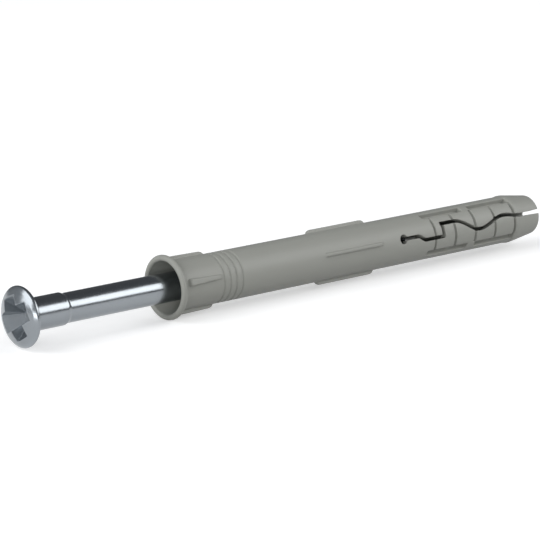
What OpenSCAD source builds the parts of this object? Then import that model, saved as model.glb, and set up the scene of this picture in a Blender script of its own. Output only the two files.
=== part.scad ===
// Hammer fixing: a moulded nylon sleeve with a screw nail that is hammered into it.
// It lies along +X with the tip to the right. All lengths are in millimetres.
// Places along the sleeve are counted from the front of its lip.

/* [Sleeve] */
// Diameter of the sleeve over the part that spreads, the size of the drilled hole
sleeve_d = 8; // [7:0.1:10]
// Length of the sleeve from the front of the lip to the tip
sleeve_l = 80; // [70:1:120]
// Diameter of the shaft where it meets the lip, a little over the sleeve's own
collar_d = 8.12; // [8.04:0.02:8.4]
// Diameter of the lip that stops the sleeve at the wall
lip_d = 10.4; // [9.8:0.1:12]
// Rounding of the lip's bead
lip_round = 0.5; // [0.3:0.05:0.7]
// Length of the hollow flare from the bead down to the shaft
flare_l = 1.2; // [0.8:0.1:2]
// Length of the funnel from the lip down to the bore
funnel_l = 6; // [4:0.5:9]
// Gap all round between the bore and the widest part of the nail
bore_gap = 0.07; // [0.05:0.01:0.3]
// How far the sleeve is rolled as it lies, so that its front slot looks up a little
sleeve_roll = 17; // [0:1:30]

/* [Collar ribs and fins] */
// How many ribs and how many fins stand round the sleeve
fin_count = 4; // [2:1:4]
// Place where the ribs behind the lip start
rib_start = 2.1; // [1.6:0.1:3]
// Length of a rib
rib_l = 6.6; // [4:0.2:7]
// Width of a rib at its lip end
rib_w = 1.1; // [0.8:0.05:2]
// Width of a rib at its far end
rib_end_w = 0.6; // [0.4:0.05:1]
// Height of a rib above the shaft at its lip end
rib_h = 0.6; // [0.4:0.05:1]
// Height of a rib above the shaft at its far end
rib_end_h = 0.5; // [0.2:0.05:0.8]
// Length of a fin
fin_l = 12.5; // [6:0.1:14]
// Plain shaft between the fins and the keyhole
fin_gap = 4.8; // [4:0.2:10]
// Width of a fin
fin_w = 0.55; // [0.4:0.05:1.2]
// Height of a fin above the sleeve
fin_h = 0.56; // [0.2:0.02:0.8]
// Length of the round at each end of a fin and at the far end of a rib
ramp_l = 1; // [0.3:0.1:1.5]

/* [Ring grooves behind the collar] */
// How many rings are cut round the shaft
ring_count = 4; // [1:1:6]
// Place of the first ring
ring_start = 9.2; // [9:0.1:12]
// Step from one ring to the next
ring_pitch = 1.25; // [0.8:0.05:2]
// Width of a ring at the surface
ring_w = 0.4; // [0.2:0.02:0.5]
// Depth of a ring
ring_depth = 0.18; // [0.1:0.02:0.4]

/* [Spreading zone] */
// Distance from the keyhole's centre to the tip
zone_l = 32.3; // [31:0.1:36]
// Diameter of the keyhole that ends the slot
keyhole_d = 1.6; // [1.2:0.1:2]
// Width of the slot between the two legs
slot_w = 0.6; // [0.3:0.05:0.7]
// Width of the slot where it opens at the tip
slot_mouth_w = 0.7; // [0.6:0.05:1.2]
// Width of the short cross cut that joins the two runs of the slot
jog_w = 0.75; // [0.4:0.05:1]
// How far the back slot lies past opposite, so that no light falls straight through both
back_turn = 24; // [0:1:30]
// How many grooves cross the front of the legs
groove_count = 5; // [2:1:6]
// Step from one cross groove to the next
groove_pitch = 4.65; // [3:0.05:4.8]
// Width of a cross groove
groove_w = 0.5; // [0.2:0.02:0.6]
// Depth of a cross groove
groove_depth = 0.4; // [0.1:0.05:0.5]
// How many pockets lie in a row along each edge of a leg
pocket_count = 2; // [1:1:2]
// Length of a pocket
pocket_l = 9.2; // [6:0.2:10]
// Step from one pocket to the next
pocket_pitch = 10.95; // [10.5:0.05:12]
// Depth of a pocket
pocket_depth = 0.8; // [0.2:0.05:0.9]
// Angle from the slot's line to the near wall of a pocket
pocket_from = 43; // [38:1:48]
// Angle that a pocket spans
pocket_span = 17; // [8:1:18]

/* [Nose] */
// Length of the nose from the last cross groove to the tip
nose_l = 6.55; // [5:0.05:8]
// Diameter of the shoulder where the nose starts
shoulder_d = 8.24; // [8.1:0.02:8.4]
// Length of the shoulder
shoulder_l = 1; // [0.6:0.1:2]
// Diameter of the tip
tip_d = 6.7; // [6:0.1:7.4]
// Diameter of the hole in the tip
tip_hole_d = 1.4; // [1:0.1:4.8]

/* [Screw nail] */
// How far the head's underside stands off the lip before the nail is driven
stand_off = 26.8; // [10:0.2:30]
// Diameter of the head
head_d = 9.6; // [9:0.1:10.2]
// Thickness of the head's rim
rim_t = 0.7; // [0.4:0.05:1.2]
// Height of the dome above the rim
dome_h = 1.3; // [0.8:0.1:2]
// Diameter of the neck under the head
neck_d = 5.16; // [5:0.02:5.6]
// Length of the neck
neck_l = 7; // [3:0.5:10]
// Length of the slope from the neck down to the shank
neck_slope = 0.5; // [0.2:0.1:1]
// Diameter of the plain shank
shank_d = 4.7; // [4.2:0.05:4.9]
// Distance from the head's underside to the thread
thread_start = 34; // [32:1:45]
// Diameter over the thread
thread_d = 4.95; // [4.9:0.01:5]
// Length of the point
point_l = 7; // [5:0.5:9]
// Diameter of the blunt end of the point
point_d = 0.8; // [0.6:0.1:2]
// How far the driven point stays short of the sleeve's tip
point_short = 2; // [1:0.5:6]

/* [Cross recess in the head] */
// Width of a wing of the recess, level with the top of the dome
wing_w = 3.4; // [1.6:0.1:3.6]
// Width of a wing at the recess's floor
wing_floor_w = 1.2; // [0.8:0.1:1.6]
// Radius that the wings reach, level with the top of the dome
wing_reach = 4.1; // [3:0.1:4.4]
// Radius of the recess at its floor
recess_floor_r = 0.9; // [0.6:0.1:1.2]
// Depth of the recess below the top of the dome
recess_depth = 3.1; // [2:0.1:3.6]
// How far the recess is turned about the axis
recess_turn = 61; // [0:1:89]

/* [Hidden] */

$fn = 96;
quarter = 90;
arc_steps = 10;
ramp_steps = 6;
wave_steps = 12;
// Overlap that keeps joined solids and cuts from ending on the same face
bite = 0.4;

sleeve_r = sleeve_d / 2;
collar_r = collar_d / 2;
lip_r = lip_d / 2;
// The bore clears the widest part of the nail
bore_r = max(neck_d, shank_d, thread_d) / 2 + bore_gap;
bead_mid_r = lip_r - lip_round;
// The bore narrows from where the driven nail's point starts, and the point fits the tip's hole
taper_x = sleeve_l - point_short - point_l;
tip_hole_r = max(tip_hole_d, point_d + 2 * bore_gap) / 2;

// Ends of the bead's round, seen in section with the axis upright
bead_in = 180;
bead_out = 405;
flare_top = [bead_mid_r + lip_round * cos(bead_out), lip_round + lip_round * sin(bead_out)];
flare_end = flare_top[1] + flare_l;

// Places along the sleeve that hang on the tip
keyhole_x = sleeve_l - zone_l;
nose_x = sleeve_l - nose_l;
fin_end = keyhole_x - fin_gap;
fin_start = fin_end - fin_l;
zone_start = fin_end + bite;
groove_start = nose_x - (groove_count - 1) * groove_pitch;
// How far the last pocket runs past the start of the nose
pocket_run_on = 0.1;
pocket_start = nose_x + pocket_run_on - pocket_l - (pocket_count - 1) * pocket_pitch;
pocket_floor_r = sleeve_r - pocket_depth;
// Angle by which a cross groove runs into the pockets on both sides of it
groove_run_in = 1;
groove_span = 2 * (pocket_from + groove_run_in);

// The slot's middle line in two runs: [distance past the keyhole, height above the slot's line].
// A cross cut joins their ends, and the second run goes on past the tip.
jog_x = 8.7;
jog_lap = 0.1;
past_tip = zone_l + 2 * bite;
low_run = [[0, 0.03], [3.1, 0.03], [5.1, -0.8], [jog_x + jog_lap, -0.8]];
high_run = [[jog_x - jog_lap, 1.37], [11.9, 1.37], [17.5, -0.77], [23.2, 0.72], [27.3, 0.2],
            [past_tip, 0.22]];
// Distance before the tip over which the slot opens out
slot_flare = 2;

head_h = rim_t + dome_h;
head_r = head_d / 2;
dome_r = (head_r * head_r + dome_h * dome_h) / (2 * dome_h);
screw_l = sleeve_l - point_short;
thread_lead = (thread_d - shank_d) / 2;

// The whole part is centred along X and its lip touches the ground
part_shift = [(stand_off + head_h - sleeve_l) / 2, 0, lip_r];

// Points on a round of radius r about the point c
function round_points(c, r, from, to) =
    [for (i = [0:arc_steps]) c + r * [cos(from + (to - from) * i / arc_steps),
                                      sin(from + (to - from) * i / arc_steps)]];

// The hollow flare from the bead down to the shaft
function flare_points() =
    [for (i = [1:arc_steps]) [flare_top[0] - (flare_top[0] - collar_r) * sin(quarter * i / arc_steps),
                              flare_top[1] + flare_l * (1 - cos(quarter * i / arc_steps))]];

// Radius of the shaft, which tapers from the collar to the spreading zone
function shaft_r(x) = collar_r + (sleeve_r - collar_r) * (x - flare_end) / (zone_start - flare_end);

// A rounded end of a rib or fin: from radius r at the place x up to the height h at the place crest_x
function ramp_points(x, crest_x, r, h) =
    [for (i = [0:ramp_steps]) [x + (crest_x - x) * (1 - cos(quarter * i / ramp_steps)),
                               -r - h * sin(quarter * i / ramp_steps)]];

// The same points in backward order
function backwards(points) = [for (i = [len(points) - 1:-1:0]) points[i]];

// A soft step between the stations a and b of a run, at the share t of the way
function swing(a, b, t) = [a[0] + (b[0] - a[0]) * t, a[1] + (b[1] - a[1]) * (1 - cos(2 * quarter * t)) / 2];

// All points of a run's middle line
function run_points(run) =
    concat([run[0]], [for (i = [1:len(run) - 1]) for (k = [1:wave_steps])
                          swing(run[i - 1], run[i], k / wave_steps)]);

// Half the slot's width at a distance past the keyhole
function half_slot(u) =
    (slot_w + (slot_mouth_w - slot_w) * max(0, (u - zone_l + slot_flare) / slot_flare)) / 2;

// The slot's half width, measured across a middle line that slopes by the given amount
function half_across(u, slope) = half_slot(u) * sqrt(1 + slope * slope);

// Slope of a middle line at its point i
function slope_at(line, i) =
    let (a = line[max(0, i - 1)], b = line[min(len(line) - 1, i + 1)]) (b[1] - a[1]) / (b[0] - a[0]);

// Turns an upright piece to lie along +X
module along_x() {
    rotate([0, quarter, 0]) children();
}

// Turns what is drawn at the front of the sleeve up and round its axis
module turned(angle) {
    rotate([-angle, 0, 0]) children();
}

// Sets the same thing on the front and on the back
module both_sides() {
    for (angle = [0, 2 * quarter + back_turn]) turned(angle) children();
}

// A slice of a ring about the axis, centred on the front, from radius r to beyond the surface
module front_slice(span, r, start, length) {
    along_x()
        rotate_extrude(angle = span, start = -quarter - span / 2)
            translate([r, start]) square([lip_r - r, length]);
}

// The sleeve as a turned tube: lip, flare, shaft, shoulder and nose outside, funnel and bore inside
module sleeve_tube() {
    along_x() rotate_extrude() polygon(concat(
        round_points([bead_mid_r, lip_round], lip_round, bead_in, bead_out),
        flare_points(),
        [[sleeve_r, zone_start],
         [sleeve_r, nose_x],
         [shoulder_d / 2, nose_x + groove_w],
         [shoulder_d / 2, nose_x + shoulder_l],
         [tip_d / 2, sleeve_l],
         [tip_hole_r, sleeve_l],
         [bore_r, taper_x],
         [bore_r, funnel_l]]));
}

// One rib behind the lip: a wedge in plan that also gets lower, with a round at its far end
module rib() {
    root_r = sleeve_r - bite;
    rib_end = rib_start + rib_l;
    far_end = backwards(ramp_points(rib_end, rib_end - ramp_l, collar_r, rib_end_h));
    intersection() {
        linear_extrude(rib_w, center = true)
            polygon(concat([[rib_start, -root_r], [rib_start, -collar_r - rib_h]],
                           far_end, [[rib_end, -root_r]]));
        rotate([quarter, 0, 0]) linear_extrude(lip_r)
            polygon([[rib_start, -rib_w / 2], [rib_end, -rib_end_w / 2],
                     [rib_end, rib_end_w / 2], [rib_start, rib_w / 2]]);
    }
}

// One fin that stops the sleeve from turning in the hole, rounded at both ends
module fin() {
    root_r = sleeve_r - bite;
    near_end = ramp_points(fin_start, fin_start + ramp_l, sleeve_r, fin_h);
    far_end = backwards(ramp_points(fin_end, fin_end - ramp_l, sleeve_r, fin_h));
    linear_extrude(fin_w, center = true)
        polygon(concat([[fin_start, -root_r]], near_end, far_end, [[fin_end, -root_r]]));
}

// The thin rings cut round the shaft behind the collar, half as wide at the floor as at the surface
module ring_cuts() {
    for (i = [0:ring_count - 1]) {
        x = ring_start + i * ring_pitch;
        r = shaft_r(x);
        along_x() rotate_extrude()
            polygon([[r - ring_depth, x - ring_w / 4], [r - ring_depth, x + ring_w / 4],
                     [r + ring_depth, x + 3 * ring_w / 4], [r + ring_depth, x - 3 * ring_w / 4]]);
    }
}

// A band of the slot's width along one run of its middle line, cut out through the front wall
module slot_run(run) {
    line = run_points(run);
    last = len(line) - 1;
    upper = [for (i = [0:last]) line[i] + [0, half_across(line[i][0], slope_at(line, i))]];
    lower = [for (i = [last:-1:0]) line[i] - [0, half_across(line[i][0], slope_at(line, i))]];
    linear_extrude(lip_r) polygon(concat(upper, lower));
}

// The keyhole and the waved slot that part the two legs on the front
module slot_cut() {
    low = low_run[len(low_run) - 1][1];
    high = high_run[0][1];
    translate([keyhole_x, 0, 0]) rotate([quarter, 0, 0]) {
        cylinder(d = keyhole_d, h = lip_r);
        slot_run(low_run);
        slot_run(high_run);
        translate([jog_x, low - slot_w / 2, 0]) cube([jog_w, high - low + slot_w, lip_r]);
    }
}

// The grooves across the front of the legs
module groove_cuts() {
    for (i = [0:groove_count - 1])
        front_slice(groove_span, sleeve_r - groove_depth,
                    groove_start + i * groove_pitch - groove_w / 2, groove_w);
}

// The blind pockets above and below the front of the legs
module pocket_cuts() {
    for (side = [-1, 1]) for (i = [0:pocket_count - 1])
        turned(side * (pocket_from + pocket_span / 2))
            front_slice(pocket_span, pocket_floor_r, pocket_start + i * pocket_pitch, pocket_l);
}

// The nylon sleeve: one moulding with its lip, ribs, fins and two spreading legs
module plug_sleeve() {
    color("#92938b") translate(part_shift) turned(sleeve_roll) difference() {
        union() {
            sleeve_tube();
            for (i = [0:fin_count - 1]) turned(i * 4 * quarter / fin_count) {
                rib();
                fin();
            }
        }
        ring_cuts();
        both_sides() {
            slot_cut();
            groove_cuts();
            pocket_cuts();
        }
    }
}

// A wedge about the plane y = 0 that narrows from the width a down to the width b on the recess's floor
module wedge(a, b) {
    rotate([quarter, 0, 0]) linear_extrude(head_d, center = true)
        polygon([[-a / 2, 0], [a / 2, 0], [b / 2, recess_depth], [-b / 2, recess_depth]]);
}

// The cross recess: two crossing slots with sloped walls, each from one wing to the one opposite
module recess() {
    for (angle = [0, quarter]) rotate(angle) intersection() {
        wedge(2 * wing_reach, 2 * recess_floor_r);
        rotate(quarter) wedge(wing_w, wing_floor_w);
    }
}

// The domed head, as a slice of a ball cut off by the rim
module screw_head() {
    intersection() {
        cylinder(d = head_d, h = head_h + bite);
        translate([0, 0, dome_r]) sphere(dome_r);
    }
}

// The steel screw nail: head, neck, shank, the outside of its thread, and point
module screw_nail() {
    color("#a3acb3") translate(part_shift + [-stand_off - head_h, 0, 0]) along_x() difference() {
        union() {
            intersection() {
                screw_head();
                cylinder(d = head_d + bite, h = head_h);
            }
            translate([0, 0, head_h]) rotate_extrude() polygon([
                [0, -bite], [neck_d / 2, -bite], [neck_d / 2, neck_l], [shank_d / 2, neck_l + neck_slope],
                [shank_d / 2, thread_start], [thread_d / 2, thread_start + thread_lead],
                [thread_d / 2, screw_l - point_l], [point_d / 2, screw_l], [0, screw_l]]);
        }
        rotate(recess_turn) recess();
    }
}

plug_sleeve();
screw_nail();
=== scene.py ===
import math

import bpy
from mathutils import Matrix, Vector


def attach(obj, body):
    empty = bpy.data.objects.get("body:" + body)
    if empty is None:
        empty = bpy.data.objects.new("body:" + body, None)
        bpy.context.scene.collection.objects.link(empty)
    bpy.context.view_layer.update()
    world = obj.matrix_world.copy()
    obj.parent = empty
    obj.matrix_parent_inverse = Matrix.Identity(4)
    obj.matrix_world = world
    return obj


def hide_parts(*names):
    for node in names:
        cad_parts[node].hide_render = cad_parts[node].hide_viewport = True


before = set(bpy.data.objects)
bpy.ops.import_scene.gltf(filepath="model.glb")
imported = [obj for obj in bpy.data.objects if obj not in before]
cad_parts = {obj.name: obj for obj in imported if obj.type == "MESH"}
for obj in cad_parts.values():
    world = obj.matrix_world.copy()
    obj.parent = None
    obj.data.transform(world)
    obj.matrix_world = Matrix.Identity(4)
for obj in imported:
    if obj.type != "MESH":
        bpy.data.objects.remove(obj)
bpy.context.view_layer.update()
bpy.ops.object.select_all(action="DESELECT")

# Sleeve: the grey nylon plug, one injection moulding with a flared lip, collar ribs and long fins.
# Its far end is slotted into two legs with cross grooves and pockets, which spread in the hole.
# It is turned as a tube, cut open, given its ribs and fins, and then has all its edges softened.
MM = 0.001
LIP_R = 5.2
LIP_FRONT = -25.6
AXIS = Vector((LIP_FRONT, 0, LIP_R)) * MM
SLEEVE_ROLL = 17
SLEEVE_STEPS = 160
LIP_ROUND = 0.5
FLARE_L = 1.2
FLARE_STEPS = 10
COLLAR_R = 4.06
SHAFT_R = 4
TAPER_END = 43.3
RING_START, RING_PITCH, RING_COUNT = 9.2, 1.25, 4
RING_W, RING_DEPTH = 0.4, 0.18
NOSE = 73.45
SHOULDER_R = 4.12
TIP = 80
TIP_R, TIP_EDGE_R = 3.38, 3.2
BORE_R = 2.65
FUNNEL_L = 6
BORE_TAPER_L = 9
TIP_HOLE_R, TIP_HOLE_EDGE_R = 0.71, 0.75
SAME_PLACE = MM / 2000


def place(along, across=0, up=0):
    """A point given in millimetres from the middle of the lip's front."""
    return AXIS + Vector((along, across, up)) * MM


def drawn_line(name, points):
    """Draws edges through the points, one extruded vertex after the other, and stays in edit mode."""
    bpy.ops.object.select_all(action="DESELECT")
    bpy.ops.mesh.primitive_plane_add(size=MM, location=(0, 0, 0))
    piece = bpy.context.object
    piece.name = name
    bpy.ops.object.mode_set(mode="EDIT")
    bpy.ops.mesh.merge(type="CENTER")
    bpy.ops.transform.translate(value=points[0])
    for a, b in zip(points, points[1:]):
        bpy.ops.mesh.extrude_vertices_move(TRANSFORM_OT_translate={"value": b - a})
    bpy.ops.mesh.select_all(action="SELECT")
    return piece


def tidied():
    """Merges what meets, closes open ends, turns the faces outwards and leaves edit mode."""
    bpy.ops.mesh.select_all(action="SELECT")
    bpy.ops.mesh.remove_doubles(threshold=SAME_PLACE)
    bpy.ops.mesh.fill_holes(sides=0)
    bpy.ops.mesh.normals_make_consistent(inside=False)
    bpy.ops.object.mode_set(mode="OBJECT")


def lathed(name, profile, steps, turn=360):
    """Turns a profile of (place along the axis, radius) round the axis, from the front upwards."""
    piece = drawn_line(name, [place(s, -r) for s, r in profile])
    bpy.ops.mesh.spin(steps=steps, angle=math.radians(turn), center=AXIS, axis=(1, 0, 0))
    tidied()
    return piece


def rolled(piece, angle):
    """Rolls a piece up from the front and round the axis, by degrees."""
    about = Matrix.Translation(AXIS)
    piece.data.transform(about @ Matrix.Rotation(math.radians(-angle), 4, "X") @ about.inverted())
    return piece


def joined(pieces):
    """Joins pieces into the first one."""
    bpy.ops.object.select_all(action="DESELECT")
    for piece in pieces:
        piece.select_set(True)
    bpy.context.view_layer.objects.active = pieces[0]
    bpy.ops.object.join()
    return bpy.context.object


def set_round(piece, angles):
    """Copies a piece to each angle round the axis and joins the copies into one."""
    copies = []
    for angle in angles:
        copy = piece.copy()
        copy.data = piece.data.copy()
        bpy.context.collection.objects.link(copy)
        copies.append(rolled(copy, angle))
    bpy.data.objects.remove(piece)
    return joined(copies)


def shaped(piece, kind, **values):
    """Adds a modifier with these values and applies it."""
    modifier = piece.modifiers.new(kind.lower(), kind)
    for key, value in values.items():
        setattr(modifier, key, value)
    bpy.ops.object.select_all(action="DESELECT")
    piece.select_set(True)
    bpy.context.view_layer.objects.active = piece
    bpy.ops.object.modifier_apply(modifier=modifier.name)


def combined(piece, tool, operation):
    """Cuts a tool's shape out of a piece, or adds it, and throws the tool away."""
    shaped(piece, "BOOLEAN", operation=operation, solver="EXACT", object=tool)
    bpy.data.objects.remove(tool)


def arc(middle, r, start, end, steps):
    """Points of a round in a profile, about a middle (place, radius), from one angle to another."""
    turns = [math.radians(start + (end - start) * i / steps) for i in range(steps + 1)]
    return [(middle[0] + r * math.sin(t), middle[1] + r * math.cos(t)) for t in turns]


bead = arc((LIP_ROUND, LIP_R - LIP_ROUND), LIP_ROUND, 180, 405, 18)
bead_end, bead_end_r = bead[-1]
flare_turns = [math.pi / 2 * i / FLARE_STEPS for i in range(1, FLARE_STEPS + 1)]
flare = [(bead_end + FLARE_L * (1 - math.cos(t)), bead_end_r - (bead_end_r - COLLAR_R) * math.sin(t))
         for t in flare_turns]
flare_end = bead_end + FLARE_L


def shaft_radius(s):
    """The shaft gets a little thinner from the collar to the spreading zone."""
    return COLLAR_R - (COLLAR_R - SHAFT_R) * (s - flare_end) / (TAPER_END - flare_end)


def ring(s):
    """One of the thin grooves turned into the shaft behind the collar."""
    r = shaft_radius(s)
    floor_r = r - RING_DEPTH
    return [(s - RING_W / 2, r), (s - RING_W / 4, floor_r), (s + RING_W / 4, floor_r), (s + RING_W / 2, r)]


rings = [point for i in range(RING_COUNT) for point in ring(RING_START + RING_PITCH * i)]
shaft = [(s, shaft_radius(s)) for s in (14, 18, 22, 26, 30, 34, 38, TAPER_END)]
shaft += [(s, SHAFT_R) for s in (50, 58, 66)]
nose = [(NOSE, SHAFT_R), (NOSE + 0.5, SHOULDER_R), (NOSE + 1, SHOULDER_R)]
nose += [(TIP - 0.25, TIP_R), (TIP, TIP_EDGE_R)]
bore = [(TIP, TIP_HOLE_EDGE_R), (TIP - 0.1, TIP_HOLE_R), (TIP - BORE_TAPER_L, BORE_R), (FUNNEL_L, BORE_R)]
outline = bead + flare + rings + shaft + nose + bore
sleeve = lathed("sleeve_moulding", outline + outline[:1], SLEEVE_STEPS)

# The waved slot is drawn as two lines on the front, pulled inwards as sheets and given its width.
KEYHOLE = 47.7
KEYHOLE_R = 0.8
LOW_RUN = [(0, 0.03), (3.1, 0.03), (5.1, -0.8), (8.9, -0.8)]
HIGH_RUN = [(8.6, 1.37), (11.9, 1.37), (17.5, -0.77), (23.2, 0.72), (27.3, 0.2), (33.1, 0.22)]
SLOT_W = 0.6
SLOT_MOUTH_W = 0.8
JOG_START, JOG_END = KEYHOLE + 8.7, KEYHOLE + 9.45
SWING_STEPS = 12
BACK_TURN = 24


def slot_sheet(run):
    """The cut for one run of the slot, which swings softly from station to station past the keyhole."""
    points = [run[0]]
    for (u, v), (next_u, next_v) in zip(run, run[1:]):
        for k in range(1, SWING_STEPS + 1):
            t = k / SWING_STEPS
            points.append((u + (next_u - u) * t, v + (next_v - v) * (1 - math.cos(math.pi * t)) / 2))
    piece = drawn_line("slot", [place(KEYHOLE + u, -LIP_R, v) for u, v in points])
    bpy.ops.mesh.extrude_region_move(TRANSFORM_OT_translate={"value": (0, LIP_R * MM, 0)})
    bpy.ops.object.mode_set(mode="OBJECT")
    shaped(piece, "SOLIDIFY", thickness=SLOT_W * MM, offset=0, use_even_offset=True)
    return piece


def front_plate(corners):
    """A plate of this outline of (place, height), pulled inwards from the front."""
    piece = drawn_line("plate", [place(s, -LIP_R, up) for s, up in corners + corners[:1]])
    bpy.ops.mesh.remove_doubles(threshold=SAME_PLACE)
    bpy.ops.mesh.edge_face_add()
    bpy.ops.mesh.extrude_region_move(TRANSFORM_OT_translate={"value": (0, LIP_R * MM, 0)})
    tidied()
    return piece


def keyhole_pin():
    """The round pin that ends the slot."""
    bpy.ops.object.select_all(action="DESELECT")
    bpy.ops.mesh.primitive_cylinder_add(vertices=40, radius=KEYHOLE_R * MM, depth=LIP_R * MM,
                                        location=place(KEYHOLE, -LIP_R / 2), rotation=(math.pi / 2, 0, 0))
    bpy.ops.object.transform_apply(location=True, rotation=True, scale=True)
    return bpy.context.object


BOTH_SIDES = (SLEEVE_ROLL, SLEEVE_ROLL + 180 + BACK_TURN)
jog_low = LOW_RUN[-1][1] - SLOT_W / 2
jog_high = HIGH_RUN[0][1] + SLOT_W / 2
jog = [(JOG_START, jog_low), (JOG_END, jog_low), (JOG_END, jog_high), (JOG_START, jog_high)]
end_v = HIGH_RUN[-1][1]
mouth = [(TIP - 2, end_v - SLOT_W / 2), (TIP + 1, end_v - SLOT_MOUTH_W / 2),
         (TIP + 1, end_v + SLOT_MOUTH_W / 2), (TIP - 2, end_v + SLOT_W / 2)]
slot_tools = [slot_sheet(LOW_RUN), slot_sheet(HIGH_RUN), keyhole_pin(), front_plate(jog), front_plate(mouth)]
for tool in slot_tools:
    combined(sleeve, set_round(tool, BOTH_SIDES), "DIFFERENCE")

# Shallow grooves cross the legs from pocket to pocket, and blind pockets lie along the legs' edges.
POCKET_FROM, POCKET_SPAN = 43, 17
POCKET_L, POCKET_PITCH, POCKET_RUN_ON = 9.2, 10.95, 0.1
POCKET_FLOOR_R = 3.2
GROOVE_COUNT, GROOVE_PITCH, GROOVE_W = 5, 4.65, 0.5
GROOVE_FLOOR_R = 3.6
OUTSIDE_R = 4.6


def slice_tool(start, end, floor_r, turn):
    """A slice of a ring, from a floor radius to outside the sleeve, that turns up from the front."""
    corners = [(start, floor_r), (end, floor_r), (end, OUTSIDE_R), (start, OUTSIDE_R), (start, floor_r)]
    return lathed("slice", corners, 24, turn)


groove_turn = 2 * (POCKET_FROM + 1)
groove_middles = [NOSE - GROOVE_PITCH * i for i in range(GROOVE_COUNT)]
grooves = [slice_tool(s - GROOVE_W / 2, s + GROOVE_W / 2, GROOVE_FLOOR_R, groove_turn)
           for s in groove_middles]
combined(sleeve, set_round(joined(grooves), [a - groove_turn / 2 for a in BOTH_SIDES]), "DIFFERENCE")
pocket_ends = [NOSE + POCKET_RUN_ON, NOSE + POCKET_RUN_ON - POCKET_PITCH]
pockets = [slice_tool(end - POCKET_L, end, POCKET_FLOOR_R, POCKET_SPAN) for end in pocket_ends]
pocket_turns = [a + b for a in BOTH_SIDES for b in (POCKET_FROM, -POCKET_FROM - POCKET_SPAN)]
combined(sleeve, set_round(joined(pockets), pocket_turns), "DIFFERENCE")


# Ribs behind the lip and fins half way along are drawn from the side, given their width and rounded.
def side_plate(name, corners, width):
    """A plate that stands on the front of the sleeve, with this outline of (place, radius)."""
    piece = drawn_line(name, [place(s, -r, -width / 2) for s, r in corners + corners[:1]])
    bpy.ops.mesh.remove_doubles(threshold=SAME_PLACE)
    bpy.ops.mesh.edge_face_add()
    bpy.ops.mesh.extrude_region_move(TRANSFORM_OT_translate={"value": (0, 0, width * MM)})
    tidied()
    return piece


def ramp(s, crest_s, r, height):
    """The rounded end of a rib or fin, from the surface up to its crest."""
    turns = [math.radians(15 * i) for i in range(7)]
    return [(s + (crest_s - s) * (1 - math.cos(t)), r + height * math.sin(t)) for t in turns]


ROOT_R = 3.6
RIB_START, RIB_END = 2.1, 8.7
RIB_W, RIB_END_W = 1.1, 0.6
RIB_H, RIB_END_H = 0.6, 0.5
RIB_SLOPE_L, RIB_FOOT_H = 0.3, 0.25
RAMP_L = 1
rib_foot = [(RIB_START, ROOT_R), (RIB_START, COLLAR_R + RIB_FOOT_H),
            (RIB_START + RIB_SLOPE_L, COLLAR_R + RIB_H)]
rib_ramp = ramp(RIB_END, RIB_END - RAMP_L, COLLAR_R, RIB_END_H)[::-1]
rib = side_plate("rib", rib_foot + rib_ramp + [(RIB_END, ROOT_R)], RIB_W)
for vertex in rib.data.vertices:
    past = (vertex.co.x - place(RIB_START).x) / ((RIB_END - RIB_START) * MM)
    vertex.co.z = AXIS.z + (vertex.co.z - AXIS.z) * (1 - (1 - RIB_END_W / RIB_W) * past)
FIN_START, FIN_END = 30.4, 42.9
FIN_W, FIN_H = 0.55, 0.56
fin_up = ramp(FIN_START, FIN_START + RAMP_L, SHAFT_R, FIN_H)
fin_down = ramp(FIN_END, FIN_END - RAMP_L, SHAFT_R, FIN_H)[::-1]
fin = side_plate("fin", [(FIN_START, ROOT_R)] + fin_up + fin_down + [(FIN_END, ROOT_R)], FIN_W)
EDGE_ROUND = 0.12
for piece in (rib, fin):
    shaped(piece, "BEVEL", width=EDGE_ROUND * MM, segments=3, limit_method="ANGLE",
           angle_limit=math.radians(40))
quarters = [SLEEVE_ROLL + 90 * i for i in range(4)]
sleeve = joined([sleeve, set_round(rib, quarters), set_round(fin, quarters)])
VOXEL = 0.085
MOST_TRIANGLES = 190000
shaped(sleeve, "REMESH", mode="VOXEL", voxel_size=VOXEL * MM, use_smooth_shade=True)
shaped(sleeve, "SMOOTH", factor=0.5, iterations=2)
triangles = sum(len(face.vertices) - 2 for face in sleeve.data.polygons)
shaped(sleeve, "DECIMATE", decimate_type="COLLAPSE", ratio=MOST_TRIANGLES / triangles)
bpy.ops.object.shade_smooth()


def surface_grain():
    """A node group that both finishes share: soft blotches, and a fine grain for roughness and bump."""
    group = bpy.data.node_groups.new("surface_grain", "ShaderNodeTree")
    for name, value in (("Blotch Size", 200), ("Grain Size", 4000), ("Stretch", 1)):
        socket = group.interface.new_socket(name, in_out="INPUT", socket_type="NodeSocketFloat")
        socket.default_value = value
    for name in ("Blotch", "Grain"):
        group.interface.new_socket(name, in_out="OUTPUT", socket_type="NodeSocketFloat")
    nodes, links = group.nodes, group.links
    inside, outside = nodes.new("NodeGroupInput"), nodes.new("NodeGroupOutput")
    where = nodes.new("ShaderNodeTexCoord")
    stretch = nodes.new("ShaderNodeVectorMath")
    stretch.operation = "MULTIPLY"
    along = nodes.new("ShaderNodeCombineXYZ")
    along.inputs["Y"].default_value = along.inputs["Z"].default_value = 1
    blotch, grain = nodes.new("ShaderNodeTexNoise"), nodes.new("ShaderNodeTexNoise")
    blotch.inputs["Detail"].default_value = 3
    grain.inputs["Detail"].default_value = 2
    links.new(inside.outputs["Stretch"], along.inputs["X"])
    links.new(where.outputs["Object"], stretch.inputs[0])
    links.new(along.outputs["Vector"], stretch.inputs[1])
    for noise, size, out in ((blotch, "Blotch Size", "Blotch"), (grain, "Grain Size", "Grain")):
        links.new(stretch.outputs["Vector"], noise.inputs["Vector"])
        links.new(inside.outputs[size], noise.inputs["Scale"])
        links.new(noise.outputs["Fac"], outside.inputs[out])
    return group


GRAIN = surface_grain()


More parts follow.
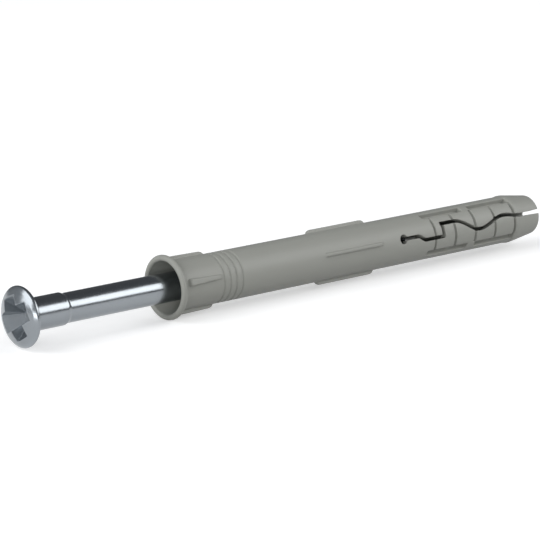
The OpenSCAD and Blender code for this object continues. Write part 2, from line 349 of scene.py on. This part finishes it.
def finish_of(name, dark, light, rough, sizes, bump, metallic):
    """A material whose colour follows soft blotches, and its roughness and bump a fine grain."""
    material = bpy.data.materials.new(name)
    material.use_nodes = True
    nodes, links = material.node_tree.nodes, material.node_tree.links
    shader = nodes["Principled BSDF"]
    shader.inputs["Metallic"].default_value = metallic
    grain = nodes.new("ShaderNodeGroup")
    grain.node_tree = GRAIN
    for key, value in zip(("Blotch Size", "Grain Size", "Stretch"), sizes):
        grain.inputs[key].default_value = value
    colour = nodes.new("ShaderNodeMix")
    colour.data_type = "RGBA"
    colour.inputs["A"].default_value, colour.inputs["B"].default_value = (*dark, 1), (*light, 1)
    roughness = nodes.new("ShaderNodeMapRange")
    roughness.inputs["From Min"].default_value, roughness.inputs["From Max"].default_value = 0.3, 0.7
    roughness.inputs["To Min"].default_value, roughness.inputs["To Max"].default_value = rough
    relief = nodes.new("ShaderNodeBump")
    relief.inputs["Strength"].default_value = bump
    relief.inputs["Distance"].default_value = 0.02 * MM
    links.new(grain.outputs["Blotch"], colour.inputs["Factor"])
    links.new(colour.outputs["Result"], shader.inputs["Base Color"])
    links.new(grain.outputs["Grain"], roughness.inputs["Value"])
    links.new(roughness.outputs["Result"], shader.inputs["Roughness"])
    links.new(grain.outputs["Grain"], relief.inputs["Height"])
    links.new(relief.outputs["Normal"], shader.inputs["Normal"])
    return material


nylon = finish_of("grey_nylon", dark=(0.278, 0.281, 0.255), light=(0.302, 0.305, 0.277), rough=(0.46, 0.56),
                  sizes=(260, 7000, 0.6), bump=0.25, metallic=0)
sleeve.data.materials.clear()
sleeve.data.materials.append(nylon)
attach(sleeve, "sleeve")
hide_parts("plug_sleeve")

# Nail: the zinc-plated steel screw nail, cold-headed from wire with a low dome and a cross recess.
# A thicker neck under the head goes into the funnel when the nail is driven home, and the far half,
# inside the sleeve, has a rolled thread.
HEAD = -26.8
DOME_TOP = HEAD - 2
DOME_R = 9.51
DOME_ARC, DOME_STEPS = math.radians(27.2), 16
NECK_R = 2.58
SHANK_R = 2.35
THREAD_START = HEAD + 34.2
POINT_START = 44.2
POINT = 51.2
PITCH = 1.6
CREST_R = 2.475
VALLEY_R = 2.16
POINT_R = 0.4
NAIL_STEPS = 96
ROWS_PER_PITCH = 12

dome_turns = [DOME_ARC * i / DOME_STEPS for i in range(DOME_STEPS + 1)]
dome = [(DOME_TOP + DOME_R * (1 - math.cos(t)), DOME_R * math.sin(t)) for t in dome_turns]
rim = [(HEAD - 0.78, 4.5), (HEAD - 0.66, 4.66), (HEAD - 0.52, 4.76), (HEAD - 0.36, 4.8),
       (HEAD - 0.18, 4.78), (HEAD - 0.05, 4.7), (HEAD, 4.58)]
under = [(HEAD, 3.4), (HEAD + 0.02, 2.9), (HEAD + 0.1, 2.68), (HEAD + 0.3, NECK_R)]
neck = [(HEAD + along, NECK_R) for along in (0.4, 0.5, 2, 4.5, 6.7, 6.8, 6.92)]
neck += [(HEAD + 7, NECK_R - 0.03), (HEAD + 7.38, SHANK_R + 0.04)]
neck += [(HEAD + along, SHANK_R) for along in (7.5, 7.6, 7.7)]
shank = [(s, SHANK_R) for s in (-17, -13, -9, -5, -1, 3)]
rows = int((POINT_START - THREAD_START) / PITCH * ROWS_PER_PITCH)
thread = [(THREAD_START + (POINT_START - THREAD_START) * i / rows, SHANK_R) for i in range(rows + 1)]
point = [(POINT_START + (POINT - POINT_START) * t, SHANK_R - (SHANK_R - POINT_R) * t)
         for t in (0.25, 0.5, 0.75, 0.95)]
point += [(POINT - 0.06, 0.33), (POINT, 0.2), (POINT, 0)]
nail = lathed("steel_nail", dome + rim + under + neck + shank + thread + point, NAIL_STEPS)

CLIMB, CREST_END = 0.72, 0.82
FADE_IN, FADE_OUT = 1.5, 2.5


def thread_radius(s, angle):
    """A slanting tooth with a long and a short flank, which fades out at both ends of the thread."""
    t = (s / PITCH - angle / math.tau) % 1
    tooth = min(1, t / CLIMB) if t < CREST_END else (1 - t) / (1 - CREST_END)
    fade = min(1, max(0, (s - THREAD_START) / FADE_IN)) * min(1, max(0, (POINT_START - s) / FADE_OUT))
    return SHANK_R + fade * (VALLEY_R - SHANK_R + (CREST_R - VALLEY_R) * tooth)


for vertex in nail.data.vertices:
    s = (vertex.co.x - AXIS.x) / MM
    if THREAD_START < s < POINT_START:
        y, z = vertex.co.y - AXIS.y, vertex.co.z - AXIS.z
        grow = thread_radius(s, math.atan2(z, y)) * MM / math.hypot(y, z)
        vertex.co.y, vertex.co.z = AXIS.y + y * grow, AXIS.z + z * grow

# The punch for the recess: two crossing wedges, each from one wing of the cross to the one opposite.
RECESS_TURN = 29
RECESS_DEPTH = 3.1
PUNCH_ABOVE = 0.4
WING_HALF_W, WING_FLOOR_HALF_W = 1.7, 0.6
WING_REACH, WING_FLOOR_REACH = 4.1, 0.9


def wedge(angle):
    """A slot's punch from above the dome down to the floor, with all four walls sloped."""
    bpy.ops.object.select_all(action="DESELECT")
    bpy.ops.mesh.primitive_cube_add(size=2)
    piece = bpy.context.object
    for vertex in piece.data.vertices:
        depth = RECESS_DEPTH if vertex.co.x > 0 else -PUNCH_ABOVE
        share = depth / RECESS_DEPTH
        half_w = WING_HALF_W - (WING_HALF_W - WING_FLOOR_HALF_W) * share
        reach = WING_REACH - (WING_REACH - WING_FLOOR_REACH) * share
        vertex.co = place(DOME_TOP + depth, vertex.co.y * half_w, vertex.co.z * reach)
    return rolled(piece, angle)


punch = wedge(RECESS_TURN)
combined(punch, wedge(RECESS_TURN + 90), "UNION")
combined(nail, punch, "DIFFERENCE")
RECESS_EDGE_ROUND = 0.08
shaped(nail, "BEVEL", width=RECESS_EDGE_ROUND * MM, segments=3, limit_method="ANGLE",
       angle_limit=math.radians(35))
bpy.ops.object.shade_smooth_by_angle(angle=math.radians(50))
shaped(nail, "WEIGHTED_NORMAL", weight=100, keep_sharp=True)

zinc = finish_of("zinc_steel", dark=(0.255, 0.275, 0.295), light=(0.295, 0.315, 0.33), rough=(0.19, 0.25),
                 sizes=(420, 5200, 0.12), bump=0.03, metallic=1)
nail.data.materials.clear()
nail.data.materials.append(zinc)
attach(nail, "nail")
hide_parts("screw_nail")

# Stage: a wide white floor under the lip, which takes the part's soft shadow.
bpy.ops.object.select_all(action="DESELECT")
bpy.ops.mesh.primitive_plane_add(size=4, location=(0, 0, 0))
floor = bpy.context.object
floor.name = "floor"
pale = bpy.data.materials.new("pale_floor")
pale.use_nodes = True
nodes, links = pale.node_tree.nodes, pale.node_tree.links
nodes.remove(nodes["Principled BSDF"])


def seen_directly(nodes, links):
    """One where a ray comes from the camera, a mirror or glass, and nought for light that bounces."""
    path = nodes.new("ShaderNodeLightPath")
    seen = path.outputs["Is Camera Ray"]
    for name in ("Is Glossy Ray", "Is Transmission Ray"):
        either = nodes.new("ShaderNodeMath")
        either.operation = "MAXIMUM"
        links.new(seen, either.inputs[0])
        links.new(path.outputs[name], either.inputs[1])
        seen = either.outputs["Value"]
    return seen


plain, bright = nodes.new("ShaderNodeBsdfDiffuse"), nodes.new("ShaderNodeBsdfDiffuse")
plain.inputs["Color"].default_value = (0.38, 0.38, 0.38, 1)
bright.inputs["Color"].default_value = (0.76, 0.76, 0.76, 1)
glow = nodes.new("ShaderNodeEmission")
glow.inputs["Strength"].default_value = 0.45
both, pick = nodes.new("ShaderNodeAddShader"), nodes.new("ShaderNodeMixShader")
links.new(bright.outputs["BSDF"], both.inputs[0])
links.new(glow.outputs["Emission"], both.inputs[1])
links.new(seen_directly(nodes, links), pick.inputs["Fac"])
links.new(plain.outputs["BSDF"], pick.inputs[1])
links.new(both.outputs["Shader"], pick.inputs[2])
links.new(pick.outputs["Shader"], nodes["Material Output"].inputs["Surface"])
floor.data.materials.append(pale)

# Light: a dim room, lighter at the head's end, whose white backdrop goes on from the floor. A large soft
# box is over the front right, and its image is the white band on the nail. Two more are at the head's
# end: one high up behind the part, and one low beside the camera, which lights the lip and the funnel.
world = bpy.data.worlds.new("studio")
bpy.context.scene.world = world
world.use_nodes = True
nodes, links = world.node_tree.nodes, world.node_tree.links
where, split, side = (nodes.new("ShaderNode" + kind) for kind in ("TexCoord", "SeparateXYZ", "MapRange"))
side.inputs["From Min"].default_value, side.inputs["From Max"].default_value = -0.4, 0.3
walls, room, below, shown = (nodes.new("ShaderNode" + kind) for kind in ("Mix", "Mix", "Math", "Math"))
walls.data_type = room.data_type = "RGBA"
walls.inputs["A"].default_value = (0.44, 0.46, 0.48, 1)
walls.inputs["B"].default_value = (0.13, 0.135, 0.145, 1)
room.inputs["B"].default_value = (1, 1, 1, 1)
below.operation, shown.operation = "LESS_THAN", "MULTIPLY"
below.inputs[1].default_value = 0.02
links.new(where.outputs["Generated"], split.inputs["Vector"])
links.new(split.outputs["X"], side.inputs["Value"])
links.new(side.outputs["Result"], walls.inputs["Factor"])
links.new(walls.outputs["Result"], room.inputs["A"])
links.new(split.outputs["Z"], below.inputs[0])
links.new(below.outputs["Value"], shown.inputs[0])
links.new(seen_directly(nodes, links), shown.inputs[1])
links.new(shown.outputs["Value"], room.inputs["Factor"])
links.new(room.outputs["Result"], nodes["Background"].inputs["Color"])


def soft_box(name, direction, distance, width, tall, radiance):
    """An area lamp that faces the part, set by how bright its face looks."""
    lamp = bpy.data.lights.new(name, "AREA")
    lamp.shape = "RECTANGLE"
    lamp.size, lamp.size_y = width, tall
    lamp.energy = radiance * math.pi * width * tall
    box = bpy.data.objects.new(name, lamp)
    bpy.context.collection.objects.link(box)
    box.location = Vector(direction).normalized() * distance
    box.rotation_euler = (-box.location).to_track_quat("-Z", "Y").to_euler()


soft_box("front_right_box", (0.626, -0.601, 0.497), 1.1, 1.22, 0.6, 3.35)
soft_box("head_end_box", (-0.807, 0.142, 0.574), 1.3, 1.05, 1.2, 2.7)
soft_box("camera_side_box", (-0.82, -0.56, 0.09), 1.3, 0.95, 0.26, 5.5)

# Camera: as the photograph looks at the part, from the head's end and a little above.
TURN, TILT = math.radians(40.17), math.radians(14.01)
FOCAL_PX, PHOTO_PX, SENSOR = 2819.2, 540, 36
BESIDE, ABOVE, BACK = 16.661, 2.814, 440.236
right = Vector((math.cos(TURN), -math.sin(TURN), 0))
ahead = Vector((math.sin(TURN) * math.cos(TILT), math.cos(TURN) * math.cos(TILT), -math.sin(TILT)))
over = right.cross(ahead)
lens = bpy.data.cameras.new("camera")
lens.sensor_width = SENSOR
lens.lens = FOCAL_PX / PHOTO_PX * SENSOR
lens.clip_start, lens.clip_end = 0.01, 20
camera = bpy.data.objects.new("camera", lens)
bpy.context.collection.objects.link(camera)
camera.matrix_world = Matrix((right, over, -ahead)).transposed().to_4x4()
camera.location = AXIS + (BESIDE * right + ABOVE * over - BACK * ahead) * MM
bpy.context.scene.camera = camera
bpy.context.scene.view_settings.view_transform = "Standard"
